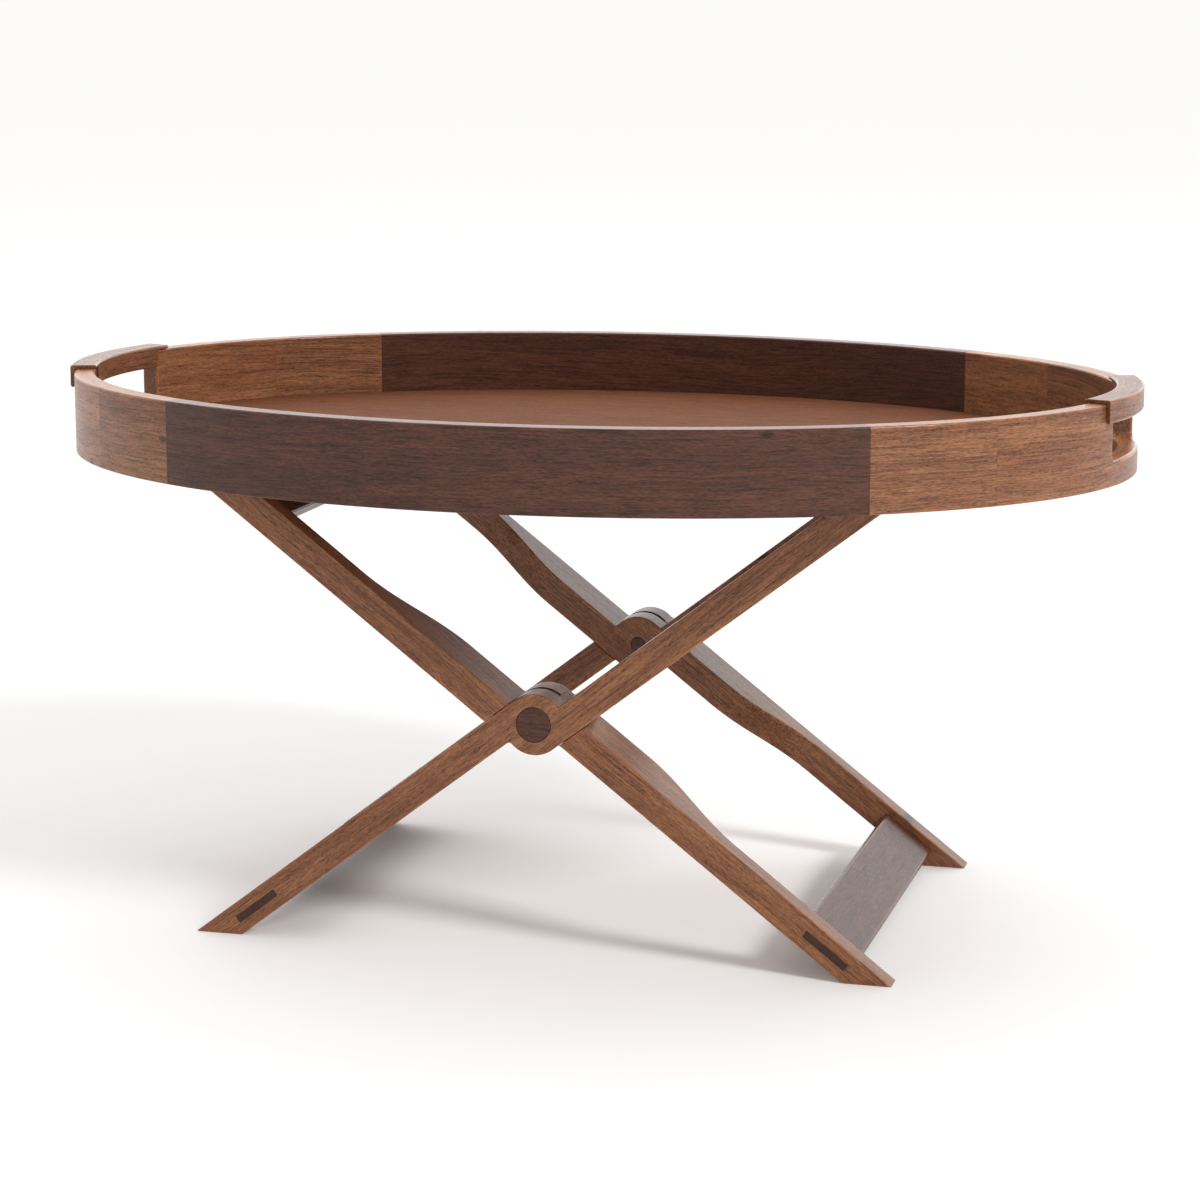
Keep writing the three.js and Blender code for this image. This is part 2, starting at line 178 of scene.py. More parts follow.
def prism(outline, low, high, sweep=2):
    """A closed solid: an outline in two axes, carried along the third from low to high."""
    bm = bmesh.new()
    across = [axis for axis in range(3) if axis != sweep]
    rings = []
    for level in (low, high):
        ring = []
        for pair in outline:
            place = [level, level, level]
            place[across[0]], place[across[1]] = pair
            ring.append(bm.verts.new(place))
        rings.append(ring)
        bm.faces.new(ring)
    for index in range(len(outline)):
        before, after = rings
        bm.faces.new((before[index - 1], before[index], after[index], after[index - 1]))
    bmesh.ops.recalc_face_normals(bm, faces=bm.faces)
    return bm


def block(low, high):
    """A closed box between two corners."""
    outline = [(low[0], low[1]), (high[0], low[1]), (high[0], high[1]), (low[0], high[1])]
    return prism(outline, low[2], high[2])


def turned(profile, steps):
    """A solid turned about Z, from pairs of radius and height that start and end on the axis."""
    bm = bmesh.new()
    rows = []
    for radius, height in profile:
        if radius == 0:
            rows.append([bm.verts.new((0, 0, height))])
            continue
        ring = arc((0, 0), radius, 0, 2 * math.pi, steps)[:-1]
        rows.append([bm.verts.new((x, y, height)) for x, y in ring])
    for lower, upper in zip(rows, rows[1:]):
        for index in range(steps):
            corners = [
                lower[index % len(lower)], lower[(index + 1) % len(lower)],
                upper[(index + 1) % len(upper)], upper[index % len(upper)],
            ]
            bm.faces.new(list(dict.fromkeys(corners)))
    bmesh.ops.recalc_face_normals(bm, faces=bm.faces)
    return bm


def shape_object(name, bm):
    mesh = bpy.data.meshes.new(name)
    bm.to_mesh(mesh)
    bm.free()
    made = bpy.data.objects.new(name, mesh)
    bpy.context.scene.collection.objects.link(made)
    return made


def carve(bm, tool, operation="DIFFERENCE"):
    """Cuts one solid away from another, or joins the two, and gives back the result."""
    held = [shape_object("carve_base", bm), shape_object("carve_tool", tool)]
    modifier = held[0].modifiers.new("carve", "BOOLEAN")
    modifier.operation = operation
    modifier.solver = "EXACT"
    modifier.object = held[1]
    bpy.context.view_layer.update()
    result = bmesh.new()
    result.from_object(held[0], bpy.context.evaluated_depsgraph_get())
    for made in held:
        mesh = made.data
        bpy.data.objects.remove(made)
        bpy.data.meshes.remove(mesh)
    return result


def clean(bm):
    """Joins doubled points and takes out edges that lie inside a flat face."""
    bmesh.ops.remove_doubles(bm, verts=bm.verts, dist=0.002 * MM)
    bmesh.ops.dissolve_limit(
        bm, angle_limit=math.radians(0.2), verts=bm.verts, edges=bm.edges, delimit={"NORMAL"},
    )
    return bm


def ease(bm, radius, chosen=None, steps=3, wear_and_painted_light=1.0):
    """Rounds outer edges as a sanding block leaves them, and marks the new faces for wear and painted
    light: above zero they are painted paler, part rubbed wood and part painted highlight, and below
    zero they get painted shade.
    The rule chosen takes the middle of an edge and the edge, and picks the ones to round."""
    worn_and_painted_light = bm.faces.layers.float.get("worn_and_painted_light") or bm.faces.layers.float.new("worn_and_painted_light")
    edges = [
        edge for edge in bm.edges
        if len(edge.link_faces) == 2
        and edge.calc_face_angle_signed(0) > SHARP
        and (chosen is None or chosen((edge.verts[0].co + edge.verts[1].co) / 2, edge))
    ]
    made = bmesh.ops.bevel(
        bm, geom=edges, offset=radius, offset_type="OFFSET", segments=steps,
        profile=0.5, affect="EDGES", clamp_overlap=False,
    )
    for face in made["faces"]:
        face[worn_and_painted_light] = wear_and_painted_light
    return bm


def slice_along(bm, places):
    """Adds a cross cut in the mesh at each place along a board, so that it can be bent."""
    for place in places:
        bmesh.ops.bisect_plane(
            bm, geom=bm.verts[:] + bm.edges[:] + bm.faces[:], dist=1e-7,
            plane_co=(place, 0, 0), plane_no=(1, 0, 0),
        )


def move(bm, place):
    """Moves every point by a rule that takes a point and gives a point."""
    for vert in bm.verts:
        vert.co = place(vert.co)


def turn(bm, matrix):
    """Turns and moves a solid, and keeps its faces outward where the matrix mirrors it."""
    bm.transform(matrix)
    if matrix.determinant() < 0:
        bmesh.ops.reverse_faces(bm, faces=bm.faces)
    return bm


def squareness(part):
    """From 0 for a face that leans well away from an axis to 1 for one square to it."""
    return max(abs(part) - 0.7, 0) / 0.3


def stamp_grain(bm, axes, tone, top_highlight=0.0):
    """Gives each point its place in the board it was cut from: along, across and into it.
    End grain drinks more oil, so it is darker. Upward faces are painted paler by the given amount: a
    painted highlight."""
    grain = bm.verts.layers.float_vector.new("grain")
    shade = bm.faces.layers.float.new("tone")
    start = Vector([chance.uniform(-2, 2) for _ in range(3)])
    for vert in bm.verts:
        vert[grain] = Vector([vert.co[axis] for axis in axes]) + start
    bm.normal_update()
    for face in bm.faces:
        face[shade] = tone - END_GRAIN * squareness(face.normal[axes[0]])
        # Painted highlight: faces that look up are painted paler.
        if face.normal.z > 0:
            face[shade] += top_highlight * squareness(face.normal.z)


def finish_piece(node, bm, material, body):
    """Makes the piece that stands for a CAD node, with smooth rounds and flat faces."""
    if bm.faces.layers.float.get("worn_and_painted_light") is None:
        bm.faces.layers.float.new("worn_and_painted_light")
    piece = shape_object(f"{node}_finished", bm)
    piece.data.materials.append(material)
    piece.data.polygons.foreach_set("use_smooth", [True] * len(piece.data.polygons))
    piece.data.set_sharp_from_angle(angle=CREASE)
    flat = piece.modifiers.new("flat_faces", "WEIGHTED_NORMAL")
    flat.keep_sharp = True
    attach(piece, body)
    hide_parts(node)


# ---- The oval of the tray ------------------------------------------------------------------
# The way round it is walked in small even turns, and the distance walked is summed.
TURNS = np.linspace(-math.pi, math.pi, 7201)
SPEEDS = np.hypot(HALF_LENGTH * np.sin(TURNS), HALF_WIDTH * np.cos(TURNS))
STEPS = (SPEEDS[1:] + SPEEDS[:-1]) / 2 * np.diff(TURNS)
WALKED = np.concatenate([[0], np.cumsum(STEPS)])
WALKED -= WALKED[len(WALKED) // 2]


def distance_at(angle):
    """Distance walked along the outside of the rim from the middle of the right end."""
    return float(np.interp(angle, TURNS, WALKED))


def oval_point(angle, offset):
    """A point on the oval, moved outward by offset."""
    x, y = HALF_LENGTH * math.cos(angle), HALF_WIDTH * math.sin(angle)
    out = Vector((x / HALF_LENGTH ** 2, y / HALF_WIDTH ** 2)).normalized()
    return x + out.x * offset, y + out.y * offset


def bend(co):
    """From a straight board (distance, depth, height) to its place round the oval."""
    x, y = oval_point(float(np.interp(co.x, WALKED, TURNS)), co.y)
    return Vector((x, y, co.z))


def bend_round(bm, about):
    """Bends a straight board round the oval, then turns it to its side of the tray."""
    move(bm, bend)
    bmesh.ops.reverse_faces(bm, faces=bm.faces)
    turn(bm, Matrix.Rotation(about, 4, "Z"))


DARK_JOINT = distance_at(math.acos(BACK_HIGH.x / HALF_LENGTH))
END_JOINT = distance_at(math.acos(SIDE_HIGH.x / HALF_LENGTH))
HALF_ROUND = distance_at(math.pi)
SLOT_END = distance_at(math.asin(SLOT_HALF_LENGTH / HALF_WIDTH))
GRIP_END = distance_at(math.asin(GRIP_HIGH.y / (HALF_WIDTH + GRIP_OUTER_LAP)))
RIM_MIDDLE = -RIM_THICKNESS / 2


def cuts_between(start, end, step=SLICE):
    """Even places between two ends, no farther apart than a step."""
    count = math.ceil((end - start) / step)
    return [start + (end - start) * number / count for number in range(1, count)]


def cut_rebate(bm, start, end):
    """The step along the inside bottom edge that the floor panel sits in."""
    low = (start - OVER, -RIM_THICKNESS - OVER, RIM_BOTTOM - OVER)
    high = (end + OVER, REBATE_WIDTH - RIM_THICKNESS, FLOOR_TOP + FIT)
    return carve(bm, block(low, high))


def cut_spline_slots(bm, start, end):
    """A slot in each end of a rim piece, which half of a loose tongue is glued into."""
    for middle in (start, end):
        half = Vector((SPLINE_HALF_LENGTH, SPLINE_HALF_THICKNESS, 0)) + Vector((FIT,) * 3)
        low = Vector((middle, RIM_MIDDLE, SPLINE_BOTTOM)) - half
        high = Vector((middle, RIM_MIDDLE, SPLINE_TOP)) + half
        bm = carve(bm, block(low, high))
    return bm


def long_edge(middle, edge):
    """True for an edge that runs along the board."""
    along = (edge.verts[0].co - edge.verts[1].co).normalized()
    return abs(along.x) > 0.5


# ---- Rim -----------------------------------------------------------------------------------
def ease_rim(bm):
    """Rounds the long edges of a rim piece, the upper ones more than the lower ones."""
    def upper(middle, edge):
        return long_edge(middle, edge) and middle.z > RIM_TOP - MM

    def lower(middle, edge):
        return long_edge(middle, edge) and middle.z < RIM_BOTTOM + MM

    return ease(ease(bm, RIM_TOP_ROUND, upper), RIM_FOOT_ROUND, lower)


def rim_bar(start, end):
    section = [
        (-RIM_THICKNESS, RIM_BOTTOM), (0, RIM_BOTTOM), (0, RIM_TOP), (-RIM_THICKNESS, RIM_TOP),
    ]
    bar = cut_rebate(prism(section, start, end, sweep=0), start, end)
    return ease_rim(clean(bar))


def make_rim_side(node, start, end, about, material, slot, tone):
    """One curved piece of the rim, bent from a straight board."""
    start, end = start + GLUE_LINE, end - GLUE_LINE
    bar = cut_spline_slots(rim_bar(start, end), start, end)
    slice_along(bar, cuts_between(start, end))
    # The top faces get the painted highlight.
    stamp_grain(bar, (0, 2, 1), tone, TOP_PAINTED_HIGHLIGHT)
    bend_round(bar, about)
    finish_piece(node, bar, material, "tray")


def notch_outline():
    """Side view of a rim end: a board with a finger notch in its top edge."""
    reach = END_JOINT - GLUE_LINE
    inner = SLOT_END - SLOT_CORNER
    height = SLOT_BOTTOM + SLOT_CORNER
    left = arc((-inner, height), SLOT_CORNER, math.pi, 1.5 * math.pi, 6)
    right = arc((inner, height), SLOT_CORNER, -math.pi / 2, 0, 6)
    return [
        (-reach, RIM_BOTTOM), (reach, RIM_BOTTOM), (reach, RIM_TOP), (SLOT_END, RIM_TOP),
        *reversed(right), *reversed(left), (-SLOT_END, RIM_TOP), (-reach, RIM_TOP),
    ]


def in_notch(middle, edge):
    """True for the edges round the finger notch, on both faces of the board."""
    return (
        abs(middle.x) < SLOT_END + MM
        and SLOT_BOTTOM - MM < middle.z < RIM_TOP - MM
        and min(abs(middle.y), abs(middle.y + RIM_THICKNESS)) < CLOSE
    )


def dowel_holes(bm):
    """Cuts the two holes that pin the grip to the ends of the notch."""
    for end in (-SLOT_END, SLOT_END):
        reach = DOWEL_HALF_LENGTH + FIT
        radius = DOWEL_RADIUS + FIT
        peg = turned([(0, -reach), (radius, -reach), (radius, reach), (0, reach)], 24)
        place = Matrix.Translation((end, RIM_MIDDLE, DOWEL_HEIGHT))
        bm = carve(bm, turn(peg, place @ Matrix.Rotation(math.pi / 2, 4, "Y")))
    return bm


def make_rim_end(where, about, material, tone):
    """The end of the rim, with the finger notch that a grip closes."""
    board = prism(notch_outline(), -RIM_THICKNESS, 0, sweep=1)
    ease(board, NOTCH_ROUND, in_notch, steps=5)
    board = ease_rim(clean(cut_rebate(board, -END_JOINT, END_JOINT)))
    reach = END_JOINT - GLUE_LINE
    board = dowel_holes(cut_spline_slots(board, -reach, reach))
    slice_along(board, cuts_between(-reach, reach))
    # The top faces get the painted highlight.
    stamp_grain(board, (0, 2, 1), tone, TOP_PAINTED_HIGHLIGHT)
    bend_round(board, about)
    finish_piece(f"rim_end_{where}", board, material, "tray")


# ---- Grips ---------------------------------------------------------------------------------
def make_grip(where, about, material, tone):
    """A bar across the finger notch that laps over the rim at both ends."""
    inner = -RIM_THICKNESS - GRIP_INNER_LAP
    bar = block((-GRIP_END, inner, GRIP_LOW.z), (GRIP_END, GRIP_OUTER_LAP, GRIP_HIGH.z))
    for side in (-1, 1):
        near, far = side * (SLOT_END - FIT), side * (GRIP_END + OVER)
        low = (min(near, far), inner - OVER, GRIP_LOW.z - OVER)
        high = (max(near, far), FIT, RIM_TOP + FIT)
        bar = carve(bar, block(low, high))
    bar = clean(dowel_holes(bar))
    ease(bar, GRIP_ROUND, long_edge, steps=4)
    ease(bar, GRIP_END_ROUND, lambda middle, edge: abs(middle.x) > GRIP_END - MM)
    slice_along(bar, cuts_between(-GRIP_END, GRIP_END, SLICE / 2))
    stamp_grain(bar, (0, 2, 1), tone)
    bend_round(bar, about)
    finish_piece(f"handle_{where}", bar, material, "tray")


# ---- Floor panel, cleats and screws --------------------------------------------------------
def make_floor(material):
    """The oval panel that lies in the rim's rebate."""
    edge = REBATE_WIDTH - RIM_THICKNESS - FIT
    sides = 240
    outline = [oval_point(2 * math.pi * number / sides, edge) for number in range(sides)]
    panel = ease(prism(outline, FLOOR_BOTTOM, FLOOR_TOP), FLOOR_ROUND, steps=2)
    stamp_grain(panel, (0, 1, 2), 0)
    finish_piece("tray_floor", panel, material, "tray")


def screw_place(side, y):
    return Matrix.Translation((side * SCREW_X, y, CLEAT_LOW.z))


def make_cleat(where, side, material, tone):
    """A bevelled batten under the floor that drops in beside the leg stretcher."""
    section = [
        (side * CLEAT_INNER_X, CLEAT_LOW.z), (side * cleat_edge(CLEAT_LOW.z), CLEAT_LOW.z),
        (side * cleat_edge(CLEAT_HIGH.z), CLEAT_HIGH.z), (side * CLEAT_INNER_X, CLEAT_HIGH.z),
    ]
    batten = ease(prism(section, CLEAT_LOW.y, CLEAT_HIGH.y, sweep=1), CLEAT_ROUND)
    for y in (-SCREW_SPACING, 0, SCREW_SPACING):
        head, shank, gap = SCREW_HEAD_RADIUS, SCREW_RADIUS, FIT
        hole = turned([
            (0, -OVER), (head + gap, -OVER), (head + gap, gap), (shank + gap, SCREW_HEAD_HEIGHT),
            (shank + gap, SCREW_LENGTH), (0, SCREW_LENGTH),
        ], 32)
        batten = carve(batten, turn(hole, screw_place(side, y)))
    stamp_grain(batten, (1, 0, 2), tone)
    finish_piece(f"cleat_{where}", batten, material, "tray")


def cleat_edge(height):
    """How far out the cleat's bevelled face is at a height: it widens evenly to the top."""
    share = (height - CLEAT_LOW.z) / (CLEAT_HIGH.z - CLEAT_LOW.z)
    top = CLEAT_HIGH.x
    return top - (1 - share) * (CLEAT_HIGH.z - CLEAT_LOW.z) / math.tan(LEG_ANGLE)


def make_screw(where, side, place, y, material):
    """A countersunk screw with a cross recess, head down."""
    head, shank = SCREW_HEAD_RADIUS, SCREW_RADIUS
    sunk, brim = 0.2 * MM, 0.4 * MM
    screw = turned([
        (0, sunk), (head * 0.94, sunk), (head, brim), (shank, SCREW_HEAD_HEIGHT),
        (shank, SCREW_LENGTH * 0.8), (shank * 0.5, SCREW_LENGTH * 0.95), (0, SCREW_LENGTH),
    ], 32)
    long, short = RECESS_HALF_LENGTH, RECESS_HALF_WIDTH
    for half_x, half_y in ((long, short), (short, long)):
        screw = carve(screw, block((-half_x, -half_y, -OVER), (half_x, half_y, RECESS_DEPTH)))
    turn(screw, screw_place(side, y))
    finish_piece(f"cleat_screw_{where}_{place}", screw, material, "tray")


# ---- Legs ----------------------------------------------------------------------------------
# A leg is drawn with x along it, upward, z square to it, and the knuckle at the origin.
def leg_outline():
    def end_at(z):
        return (KNEE_HEIGHT - z * math.cos(LEG_ANGLE)) / math.sin(LEG_ANGLE)

    fillet_z = KNUCKLE_FILLET - EDGE_OFFSET
    fillet_x = math.sqrt((LEG_WIDTH + KNUCKLE_FILLET) ** 2 - fillet_z ** 2)
    contact = math.atan2(fillet_z, fillet_x)
    half = [
        (0, -LEG_WIDTH), (end_at(-LEG_WIDTH), -LEG_WIDTH), (end_at(-EDGE_OFFSET), -EDGE_OFFSET),
        *arc((fillet_x, fillet_z), KNUCKLE_FILLET, -math.pi / 2, contact - math.pi, 6),
        *arc((0, 0), LEG_WIDTH, contact, math.pi / 2, 24)[1:-1],
    ]
    return half + [(-x, -z) for x, z in half]


def lap_tool(layer):
    """The room that the partner leg's knuckle and arms take up in one half of the thickness."""
    middle = (LEG_LOW.y + LEG_HIGH.y) / 2
    half, reach = LEG_WIDTH + STOP_GAP, 120 * MM
    low, high = middle - LAYER_GAP / 2, LEG_HIGH.y + OVER
    if layer == "outer":
        low, high = LEG_LOW.y - OVER, middle + LAYER_GAP / 2
    tool = block((-reach, low, -half), (reach, high, half))
    return turn(tool, Matrix.Rotation(-(math.pi - 2 * LEG_ANGLE), 4, "Y"))


def taper(co):
    """Thins the leg from its inner face, in a soft wave on each side of the knuckle."""
    share = min(max((abs(co.x) - TAPER_START) / (TAPER_END - TAPER_START), 0), 1)
    inward = (LEG_HIGH.y - co.y) / (LEG_HIGH.y - LEG_LOW.y)
    if inward < 0.5:
        return co
    full = LEG_HIGH.y - LEG_LOW.y - LEG_END_THICKNESS
    return co + Vector((0, full * (1 - math.cos(math.pi * share)) / 2, 0))


def pin_tool(layer):
    """The hole for the pivot pin, with a wider seat for its head in the outer legs."""
    low, high = LEG_LOW.y - OVER, LEG_HIGH.y + OVER
    shank, head = PIN_RADIUS + PIN_CLEARANCE, PIN_HEAD_RADIUS + PIN_CLEARANCE
    seat = LEG_HIGH.y - PIN_HEAD_DEPTH - PIN_CLEARANCE
    step = [(shank, seat), (head, seat), (head, high)] if layer == "outer" else [(shank, high)]
    bar = turned([(0, low), (shank, low), *step, (0, high)], 72)
    return turn(bar, Matrix.Rotation(-math.pi / 2, 4, "X"))


def tenon_tip(end):
    """Lower tenons (end -1) go right through the legs; upper ones (end 1) stop inside them."""
    return LEG_HIGH.y - (LEG_END_THICKNESS - STOPPED_TENON_LENGTH if end > 0 else 0)


def mortise_tool(end):
    """The hole for a tenon, which is right through the leg at its lower end."""
    middle = -end * LEG_WIDTH / 2
    half = TENON_THICKNESS / 2 + MORTISE_GAP
    near = end * (STRETCHER_NEAR + TENON_INSET - MORTISE_GAP)
    far = end * (STRETCHER_FAR - TENON_INSET + MORTISE_GAP)
    depth = tenon_tip(end) + (FIT if end > 0 else OVER)
    return block((min(near, far), 0, middle - half), (max(near, far), depth, middle + half))


def near_seam(middle):
    """True by the round edge of the knuckle where the two legs of a pair meet."""
    seam = (LEG_LOW.y + LEG_HIGH.y) / 2
    inward = LEG_WIDTH - math.hypot(middle.x, middle.z)
    return abs(middle.y - seam) < SEAM_REACH and -CLOSE < inward < SEAM_REACH


def on_knuckle_seam(middle, edge):
    """True for that round edge, and not for the edges of the arms that run up to it."""
    farthest = max(math.hypot(vert.co.x, vert.co.z) for vert in edge.verts)
    return near_seam(middle) and farthest < LEG_WIDTH + CLOSE


def leg_solid(layer):
    """A leg with its knuckle, taper, pin hole and mortises, still on its own axes."""
    leg = prism(leg_outline(), LEG_LOW.y, LEG_HIGH.y, sweep=1)
    leg = clean(carve(leg, lap_tool(layer)))
    # The seam bevel is marked below zero, which paints shade into it.
    ease(leg, SEAM_BEVEL, on_knuckle_seam, steps=1, wear_and_painted_light=SEAM_PAINTED_SHADE)
    ease(leg, LEG_ROUND, lambda middle, edge: not near_seam(middle))
    places = [TAPER_START, *cuts_between(TAPER_START, TAPER_END, TAPER_SLICE), TAPER_END]
    slice_along(leg, [side * place for side in (-1, 1) for place in places])
    move(leg, taper)
    leg = carve(leg, pin_tool(layer))
    for end in (1, -1):
        leg = carve(leg, mortise_tool(end))
    return leg


def frame_place(layer):
    """From a leg frame's own axes to its place in the table."""
    facing = Matrix.Rotation(0 if layer == "outer" else math.pi, 4, "Z")
    lean = Matrix.Rotation(-LEG_ANGLE, 4, "Y")
    return facing @ Matrix.Translation((0, 0, KNEE_HEIGHT)) @ lean


def make_leg(layer, end, material, tone):
    """One of the four legs. The front and rear legs of a frame mirror each other."""
    leg = leg_solid(layer)
    stamp_grain(leg, (0, 2, 1), tone)
    drawn_at_rear = (end == "rear") == (layer == "outer")
    mirror = Matrix.Scale(1 if drawn_at_rear else -1, 4, (0, 1, 0))
    turn(leg, frame_place(layer) @ mirror)
    finish_piece(f"leg_{layer}_{end}", leg, material, f"{layer}_frame")


def runs_across(middle, edge):
    """True for an edge that runs from leg to leg."""
    return abs(edge.verts[0].co.y - edge.verts[1].co.y) > MM


def make_stretcher(layer, level, material, tone):
    """A board between the two legs of a frame, with a tenon into each leg."""
    end = 1 if level == "upper" else -1
    inside, tip = LEG_HIGH.y - LEG_END_THICKNESS - FIT, tenon_tip(end)
    middle = -LEG_WIDTH / 2
    half = STRETCHER_THICKNESS / 2
    board = block((STRETCHER_NEAR, -inside, middle - half), (STRETCHER_FAR, inside, middle + half))
    ease(board, STRETCHER_ROUND, runs_across, steps=4)
    half = TENON_THICKNESS / 2
    tenon = block(
        (STRETCHER_NEAR + TENON_INSET, -tip, middle - half),
        (STRETCHER_FAR - TENON_INSET, tip, middle + half),
    )
    board = carve(board, ease(tenon, TENON_ROUND, steps=2), "UNION")
    stamp_grain(board, (1, 0, 2), tone)
    swing = Matrix.Rotation(0 if end > 0 else math.pi, 4, "Y")
    turn(board, frame_place(layer) @ swing)
    name = f"stretcher_{layer}_{level}"
    finish_piece(name, board, material, f"{layer}_frame")


def make_pin(end, material):
    """A turned pivot pin with a broad flat head, let in flush with the leg."""
    neck, tip = LEG_HIGH.y - PIN_HEAD_DEPTH, LEG_LOW.y
    centre = (PIN_HEAD_RADIUS - PIN_HEAD_ROUND, LEG_HIGH.y - PIN_HEAD_ROUND)
    round_head = arc(centre, PIN_HEAD_ROUND, 0, math.pi / 2, 4)
    pin = turned([
        (0, tip), (PIN_RADIUS - PIN_TIP_ROUND, tip), (PIN_RADIUS, tip + PIN_TIP_ROUND),
        (PIN_RADIUS, neck), (PIN_HEAD_RADIUS, neck), *round_head, (0, LEG_HIGH.y),
    ], 96)
    turn(pin, Matrix.Rotation(-math.pi / 2, 4, "X"))
    stamp_grain(pin, (0, 2, 1), 0)
    facing = 0 if end == "rear" else math.pi
    turn(pin, Matrix.Translation((0, 0, KNEE_HEIGHT)) @ Matrix.Rotation(facing, 4, "Z"))
    finish_piece(f"pivot_pin_{end}", pin, material, "pivot")


# ---- Finishes ------------------------------------------------------------------------------
def colour(code):
    """An sRGB hex colour as linear light, with full opacity."""
    parts = [int(code[start:start + 2], 16) / 255 for start in (0, 2, 4)]
    return [p / 12.92 if p <= 0.04045 else ((p + 0.055) / 1.055) ** 2.4 for p in parts] + [1]


def add(tree, kind, inputs=(), **settings):
    """Adds one node, with its settings, and sets or links its inputs."""
    made = tree.nodes.new(kind)
    for name, value in settings.items():
        setattr(made, name, value)
    for socket, value in dict(inputs).items():
        if isinstance(value, bpy.types.NodeSocket):
            tree.links.new(value, made.inputs[socket])
        else:
            made.inputs[socket].default_value = value
    return made


# Where a Mix node keeps its factor and its colours.
FACTOR, COLOUR_A, COLOUR_B, COLOUR_OUT = 0, 6, 7, 2


def blank(name):
    """A new material with an empty node tree."""
    material = bpy.data.materials.new(name)
    material.use_nodes = True
    material.node_tree.nodes.clear()
    return material, material.node_tree


# Each pattern of walnut: how long it runs with the grain, how wide it is, and its detail.
# Fibres are about 0.1 mm wide in the wood, and are drawn 0.7 mm wide so that they show.
WALNUT_PATTERNS = {
    "bands": (260 * MM, 12 * MM, 2.0),
    "rings": (70 * MM, 1.7 * MM, 3.0),
    "streaks": (18 * MM, 0.8 * MM, 2.0),
    "fibres": (4.5 * MM, 0.7 * MM, 1.0),
    "mottle": (24 * MM, 9 * MM, 1.0),
}
# Walnut pores are 0.2 mm wide and 2 to 6 mm long; they are drawn 0.6 mm wide.
PORE_CELL = (5 * MM, 1.1 * MM, 1.1 * MM)
# Pin knots: one in about this length and width of board, each about 10 mm by 4 mm.
KNOT_CELL = (300 * MM, 130 * MM)
# The sum of the fine patterns where the wood is darkest and dullest, and palest and glossiest.
DULL, BRIGHT = 0.7, 1.55


